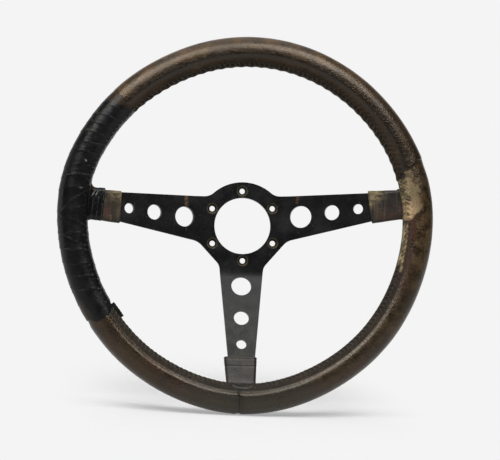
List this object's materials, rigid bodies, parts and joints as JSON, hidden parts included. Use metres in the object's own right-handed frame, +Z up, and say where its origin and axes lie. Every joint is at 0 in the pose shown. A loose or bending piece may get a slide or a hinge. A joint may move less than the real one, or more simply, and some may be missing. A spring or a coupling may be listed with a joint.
{
  "type": "car steering wheel",
  "caption": "Dished three-spoke sports steering wheel: bent black spoke plate with drilled spokes, leather-laced rim, leather spoke sleeves and a taped stretch.",
  "frame": {"origin": "centre of the hub's flat back face, which seats on the steering boss", "axes": "+X to the driver's right, +Y away from the driver along the column, +Z up with the wheel straight ahead"},
  "size_m": [0.3706, 0.0556, 0.37],
  "materials": {
    "spoke_plate": "satin black, worn",
    "hoop_metal": "mill finish",
    "rivet_metal": "plain",
    "grip_moulding": "moulded, hidden",
    "rim_leather": "aged brown, polished by use",
    "thread": "waxed thread, soiled",
    "sleeve_leather": "aged dark brown",
    "tape": "black adhesive tape, wrinkled"
  },
  "bodies": {
    "root": {"spoke_plate": "spoke_plate", "rim_hoop": "hoop_metal", "rivets_left": "rivet_metal", "rivets_right": "rivet_metal", "rivets_lower": "rivet_metal", "grip_core": "grip_moulding", "leather_upper": "rim_leather", "leather_lower_left": "rim_leather", "leather_lower_right": "rim_leather", "stitching_upper": "thread", "stitching_lower_left": "thread", "stitching_lower_right": "thread", "sleeve_left": "sleeve_leather", "sleeve_right": "sleeve_leather", "sleeve_lower": "sleeve_leather", "tape_wrap": "tape", "tape_tail": "tape"}
  },
  "joints": []
}
